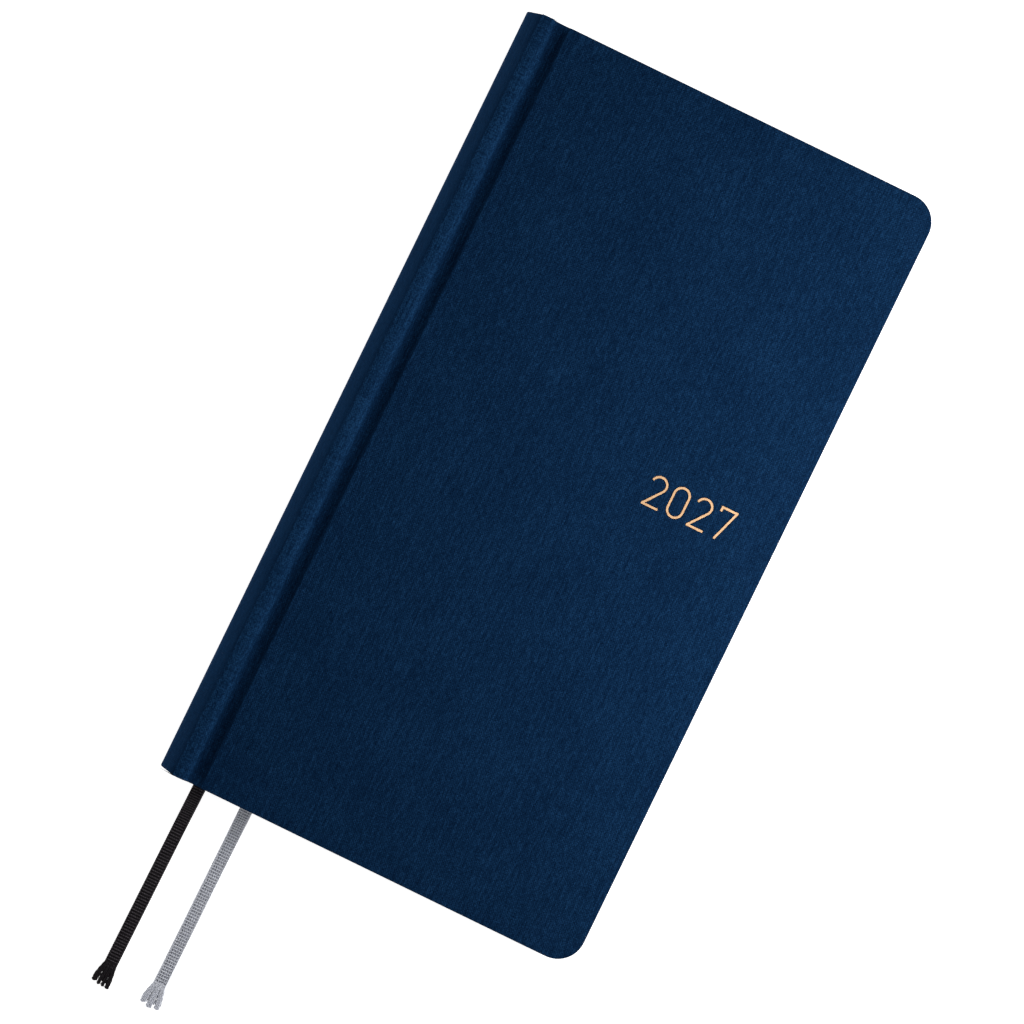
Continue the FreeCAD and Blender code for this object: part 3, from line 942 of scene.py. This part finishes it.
# lobes of the cut end: (place across, width, reach, strands), sizes in mm
ribbons = {
    "black": {
        "exit": (-41.15 * mm, -91.0 * mm, 6.161 * mm),
        "route": [
            (-41.15, -91.0, 6.161), (-41.2, -96.0, 6.0), (-41.75, -103.5, 0.2),
            (-41.85, -111.0, 0.2), (-42.2, -141.3, 0.2),
        ],
        "length": 0.052,
        "shine": 1.12,
        "lobes": [(-1.90, 1.00, 4.5, 7), (-0.66, 0.55, 4.9, 4), (0.36, 0.58, 5.0, 4), (1.52, 0.78, 5.1, 6)],
        "inner": [(-44.4, 91.0, 6.161), (-41.15, -91.0, 6.161)],
        "colours": {
            "weft": ((0.112, 0.100, 0.112, 1), (0.052, 0.046, 0.052, 1)),
            "warps": ((0.030, 0.026, 0.030, 1), (0.014, 0.012, 0.014, 1)),
            # the tape's inside: painted shade between the yarns
            "shaded_core": ((0.027, 0.023, 0.027, 1), (0.014, 0.012, 0.014, 1)),
            "edges": ((0.024, 0.020, 0.023, 1), (0.010, 0.008, 0.010, 1)),
        },
    },
    "grey": {
        "exit": (-29.55 * mm, -91.0 * mm, 4.476 * mm),
        "route": [
            (-29.55, -91.0, 4.476), (-29.6, -95.5, 4.3), (-29.85, -101.5, 0.2),
            (-29.9, -107.5, 0.2), (-30.15, -140.8, 0.2),
        ],
        "length": 0.051,
        "shine": 1.3,
        "lobes": [(-1.86, 1.05, 4.6, 7), (-0.12, 1.15, 5.2, 8), (1.72, 1.05, 4.9, 7)],
        "inner": [(-44.0, 91.0, 4.476), (-29.55, -91.0, 4.476)],
        "colours": {
            "weft": ((0.90, 0.92, 0.97, 1), (0.68, 0.70, 0.77, 1)),
            "warps": ((0.84, 0.86, 0.93, 1), (0.60, 0.62, 0.70, 1)),
            # the tape's inside: painted shade between the yarns
            "shaded_core": ((0.46, 0.475, 0.53, 1), (0.29, 0.30, 0.35, 1)),
            "edges": ((0.86, 0.88, 0.94, 1), (0.60, 0.62, 0.68, 1)),
        },
    },
}


# sizes in mm, but radii in metres
fray = {
    "startHalf": 1.28,            # where the outermost strands leave the tape
    "startInside": 0.9,
    "steps": 12,
    "rounding": 0.22,             # how much shorter a lobe's outer strands are
    "uneven": 0.05,
    "upperLevel": 0.08,
    "lowerLevel": -0.06,
    "lowerReach": 0.84,
    "lowerSpread": (0.9, 1.5),    # of the lobes' places and widths
    "layer": 0.10,
    "wobble": 0.04,
    "radius": 0.15 * mm,
    "lowerRadius": 0.10 * mm,
}


def frayedStrands(place, lobes, drop, level):
    # strands from the tape's width out to their lobes, blunt at the ends
    total = sum(lobe[3] for lobe in lobes)
    strands = []
    for across, width, reach, count in lobes:
        for k in range(count):
            share = 2 * k / (count - 1) - 1
            n = len(strands)
            start = (2 * n / (total - 1) - 1) * fray["startHalf"]
            end = across + share * width / 2
            length = reach * drop - fray["rounding"] * share ** 2 + fray["uneven"] * sin(7.3 * n)
            points = []
            for step in range(fray["steps"] + 1):
                t = step / fray["steps"]
                x = start + (end - start) * t * (1.5 - 0.5 * t) + fray["uneven"] * sin(3 * n + 22 * t)
                y = -fray["startInside"] + t * (length + fray["startInside"])
                z = level + fray["layer"] * cos(pi * n) * t + fray["wobble"] * sin(19 * t + n)
                points.append(place + Vector((x, -y, z)) * mm)
            strands.append(points)
    return strands


def makeFrayedEnd(colour, line, facts, materials):
    inner, wider = fray["lowerSpread"]
    spread = [(lobe[0] * inner, lobe[1] * wider, lobe[2], lobe[3]) for lobe in facts["lobes"]]
    upper = frayedStrands(line[-1], facts["lobes"], 1.0, fray["upperLevel"])
    lower = frayedStrands(line[-1], spread, fray["lowerReach"], fray["lowerLevel"])
    bm = joinMeshes([
        strandMesh("lobes", upper[::2], fray["radius"]),
        strandMesh("under", upper[1::2], fray["radius"]),
        strandMesh("shaded_core", lower, fray["lowerRadius"]),
    ])
    # the lower strands take the darker colour of the tape's inside: painted shade under the upper strands
    order = [materials[1], materials[3], materials[2]]
    return finishPiece(colour + "_ribbon_tassel", bm, order, "text_block",
                       (colour + "_ribbon_end",))


def makeRibbons():
    for colour, facts in ribbons.items():
        materials = [yarn(f"{colour}_{part}", *tones, facts["shine"])
                     for part, tones in facts["colours"].items()]
        line = routeLine(colour + "_route", facts["route"])
        piece = finishPiece(colour + "_ribbon_tape", wovenTape(line), materials, "text_block",
                            (colour + "_ribbon",))
        end = makeFrayedEnd(colour, line, facts, materials)
        [tuple(step[0]) for step in evenSteps(line, 1.0 * mm)]
        inside = [Vector(place) * mm for place in facts["inner"]]
        finishPiece(colour + "_ribbon_inside", wovenTape(inside, 12, 0), materials, "text_block",
                    (colour + "_ribbon_inner",))


book = {
    "sections": 7,
    "turning": 3,                 # the sections that turn with the front cover
    "laid": {4: "black", 6: "grey"},     # the sections that a ribbon lies on
    "sheetsPerSection": 4,
    "leaf": 0.078 * mm,
    "pageCorner": 5.0 * mm,
    "bend": (5.0 * mm, 9.0 * mm),  # from the spine: where turning leaves bend
    "bendSteps": 8,
    "ribbonSqueeze": 0.42 * mm,   # how far a ribbon presses the leaves that it lies on
    "squeezeStep": 0.04 * mm,     # how much lower each next sheet is pressed
    "dentHalf": 1.65 * mm,
    "dentEnd": 2.4 * mm,
    "endpaper": 0.15 * mm,
    "endpaperFold": 0.1 * mm,
    "pastedCorner": 3.4 * mm,
    "pastedMargin": 13.3 * mm,    # where the endpaper steps down from the cloth to the board
    "pastedStep": 0.8 * mm,
    "pastedStart": 0.9 * mm,      # past the joint
    "pastedSteps": 9,             # across the joint
    "boardGap": 0.01 * mm,
}


def pageMap(bm):
    layer = bm.loops.layers.uv.new("page")
    for face in bm.faces:
        for loop in face.loops:
            loop[layer].uv = (loop.vert.co.x - spineX, loop.vert.co.y)


def bendPlaces():
    start, end = book["bend"]
    steps = book["bendSteps"]
    return [spineX + end - (end - start) * n / steps for n in range(steps + 1)]


def thicken(bm, thickness, faces=None):
    # a wall half to each side of the drawn surface
    turnOutward(bm, Vector((0, 0, 1)), faces)
    bmesh.ops.solidify(bm, geom=bm.faces[:], thickness=thickness)
    bmesh.ops.recalc_face_normals(bm, faces=bm.faces[:])


def foldedSheet(fore, centre, middle, radius, squeeze):
    # one sheet folded in two round the section's fold, its inner side towards the section's middle
    bm = bmesh.new()
    bends = [x for x in bendPlaces() if x > centre + 100 * tiny]
    vert = bm.verts.new((fore, -halfPage, middle + radius))
    for x in bends + [centre]:
        vert = run(bm, vert, x, middle + radius)
    vert = arc(bm, vert, (centre, middle), -pi, 6)
    for x in bends[::-1] + [fore]:
        vert = run(bm, vert, x, middle - radius)
    sweepAlong(bm, 2 * halfPage)
    roundCorners(bm, fore, book["pageCorner"], 8)
    if squeeze:
        pressUnderRibbon(bm, middle, *squeeze)
    thicken(bm, book["leaf"], [face for face in bm.faces if face.calc_center_median().z > middle])
    return meshOf("sheet", bm)


def pressUnderRibbon(bm, middle, head, tail, ceiling):
    # upper leaves dip under the ribbon that lies on them
    along = (tail - head).normalized()
    across = Vector((along.y, -along.x, 0))
    half, end = book["dentHalf"], book["dentEnd"]
    for off in (-end, -half, half, end):
        cutAcross(bm, head + across * off, across)
    for vert in bm.verts:
        off = abs((vert.co - head).dot(across))
        if off < half + 50 * tiny and vert.co.z > middle:
            vert.co.z = min(vert.co.z, ceiling)


def makeSections():
    for number in range(1, book["sections"] + 1):
        turning = number <= book["turning"]
        name = f"section_{number:02}"
        names = [name + "_fold", name + "_leaves"] if turning else [name]
        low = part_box(names[0])[0]
        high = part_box(names[-1])[1]
        half = (high.z - low.z) / 2
        middle = (high.z + low.z) / 2
        pitch = half / book["sheetsPerSection"]
        meshes = []
        for k in range(book["sheetsPerSection"]):
            squeeze = None
            if number in book["laid"]:
                head, tail = (Vector(place) * mm for place in ribbons[book["laid"][number]]["inner"])
                squeeze = (head, tail, high.z - book["ribbonSqueeze"] - book["squeezeStep"] * k)
            meshes.append(foldedSheet(high.x, low.x + half, middle, half - k * pitch, squeeze))
        bm = joinMeshes(meshes, apart=False)
        pageMap(bm)
        piece = finishPiece(name + "_sheets", bm, [looks["page_paper"]], None if turning else "text_block",
                            names, smooth=False)
        if turning:
            blendPiece(piece)


def flatSheet(start, fore, halfWidth, z, radius, bends):
    # a leaf from the joint to the fore-edge with rounded corners, cut where it will bend
    bm = bmesh.new()
    vert = bm.verts.new((start, -halfWidth, z))
    for x in bends + [fore]:
        vert = run(bm, vert, x, z)
    sweepAlong(bm, 2 * halfWidth)
    roundCorners(bm, fore, radius, 8)
    return bm


def finishEndpaper(name, bm, body, nodes, flip):
    thicken(bm, book["endpaper"])
    if flip:
        mirrorThrough(bm, bookMiddle)
    pageMap(bm)
    return finishPiece(name, bm, [looks["endpaper"]], body, nodes, smooth=False)


def makeFlyleaves():
    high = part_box("front_flyleaf")[1]
    bottom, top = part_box("front_flyleaf_strip")
    start = bottom.x + book["endpaperFold"]
    for name, nodes, flip in (
        ("front_flyleaf_paper", ("front_flyleaf", "front_flyleaf_strip"), False),
        ("back_flyleaf_paper", ("back_flyleaf",), True),
    ):
        bm = flatSheet(start, high.x, halfPage, high.z, book["pageCorner"], bendPlaces()[::-1][1:])
        fold = [edge for edge in bm.edges if all(vert.co.x < start + 10 * tiny for vert in edge.verts)]
        for vert in foldOver(bm, fold)[0]:
            vert.co.z = top.z
            vert.co.x = bottom.x + 20 * tiny
        piece = finishEndpaper(name, bm, "text_block" if flip else None, nodes, flip)
        if not flip:
            blendPiece(piece)


def makePastedowns():
    # the endpaper pasted inside a cover, running on across the joint to the flyleaf's fold
    jointLow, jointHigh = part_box("front_endpaper_joint")
    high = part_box("front_pastedown")[1]
    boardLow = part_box("front_board")[0]
    window = coverHigh.x - book["pastedMargin"]
    side = halfHeight - book["pastedMargin"]
    start = jointHigh.x + book["pastedStart"]
    steps = book["pastedSteps"]
    bends = [jointLow.x + (jointHigh.x - jointLow.x) * n / steps for n in range(1, steps + 1)]
    half = book["pastedStep"] / 2
    for name, body, nodes, flip in (
        ("front_pastedown_paper", "front_cover", ("front_pastedown", "front_endpaper_joint"), False),
        ("back_pastedown_paper", "back_cover", ("back_pastedown", "back_endpaper_joint"), True),
    ):
        bm = flatSheet(jointLow.x, high.x, high.y, jointHigh.z, book["pastedCorner"], bends)
        for step in (0, book["pastedStep"]):
            cutAcross(bm, (window - step, 0, 0), (1, 0, 0))
            cutAcross(bm, (0, side - step, 0), (0, 1, 0))
            cutAcross(bm, (0, step - side, 0), (0, 1, 0))
        cutAcross(bm, (start, 0, 0), (1, 0, 0))
        for vert in bm.verts:
            if start - half < vert.co.x < window - half and abs(vert.co.y) < side - half:
                vert.co.z = boardLow.z - book["boardGap"]
        piece = finishEndpaper(name, bm, None, nodes, flip)
        blendPiece(piece)


floorLook = {
    "half": 1.5,
    "gap": 0.02 * mm,
    "colour": (0.9, 0.9, 0.9, 1),
    "glowColour": (1, 1, 1, 1),
    "glow": 0.84,
}


def addFloor():
    bm = bmesh.new()
    bmesh.ops.create_grid(bm, x_segments=2, y_segments=2, size=floorLook["half"])
    bmesh.ops.translate(bm, verts=bm.verts[:], vec=(0, 0, cadBox[0][2] - floorLook["gap"]))
    floor = bpy.data.objects.new("floor", meshOf("floor", bm))
    bpy.context.scene.collection.objects.link(floor)
    floor.data.materials.append(newMaterial(
        "floor", Base_Color=floorLook["colour"], Roughness=0.9,
        Emission_Color=floorLook["glowColour"], Emission_Strength=floorLook["glow"],
    )[0])


looks = {
    "greyboard": plainFibre("greyboard", (0.30, 0.29, 0.27, 1), (0.20, 0.19, 0.18, 1), 1400, 0.9),
    "page_paper": ruledPaper("page_paper"),
    "endpaper": plainFibre("endpaper", (0.84, 0.82, 0.77, 1), (0.78, 0.76, 0.70, 1), 700),
    "stamping_foil": foilGold(),
    "linen_thread": plainFibre("linen_thread", (0.75, 0.70, 0.58, 1), (0.60, 0.55, 0.44, 1), 4000),
    "dried_glue": plainFibre("dried_glue", (0.72, 0.68, 0.55, 1), (0.62, 0.57, 0.42, 1), 600, 0.35),
    "gauze": openGauze("gauze"),
    "kraft_paper": plainFibre("kraft_paper", (0.45, 0.32, 0.20, 1), (0.36, 0.25, 0.15, 1), 1100),
    "band_cotton": stripedCotton("band_cotton"),
}

addCamera()
makeRibbons()
print("camera and ribbons done")

addLights()
addFloor()
print("stage set")

# the cover cloth: painted shade in the joint groove, painted highlight along the ridge top
coverClothMaterial = bookCloth("book_cloth", pressed=(3.45 * mm, 1.5 * mm),
                               paintedHighlights=[(0.2 * mm, 2.7 * mm, 0.12, 0.9)])
# the spine cloth: painted highlight along both ridge tops and painted light across the rounded spine
spineClothMaterial = bookCloth("book_cloth_spine", smooth=(2.4 * mm, 15.2 * mm),
                               paintedHighlights=[(0.2 * mm, 2.2 * mm, 0.16, 0.9), (8.8 * mm, 7.5 * mm, 0.18, 0),
                                       (17.4 * mm, 2.2 * mm, 0.10, 0.9)])
spineSkin()
coverSkin("front_cover_skin", caseCloth["frontRidgeRise"], False,
          ("front_cover_cloth", "front_joint_cloth"))
coverSkin("back_cover_skin", 0, True, ("back_cover_cloth", "back_joint_cloth"))
makeYear()
print("cloth and year done")

makeSections()
makeFlyleaves()
makePastedowns()
print("paper done")

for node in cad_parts.values():
    for index, used in enumerate(node.data.materials):
        if used.name in looks:
            continue
        finish = used.name.split(".")[0]
        node.data.materials[index] = looks.get(finish, coverClothMaterial)
print("finishes on the packed parts")
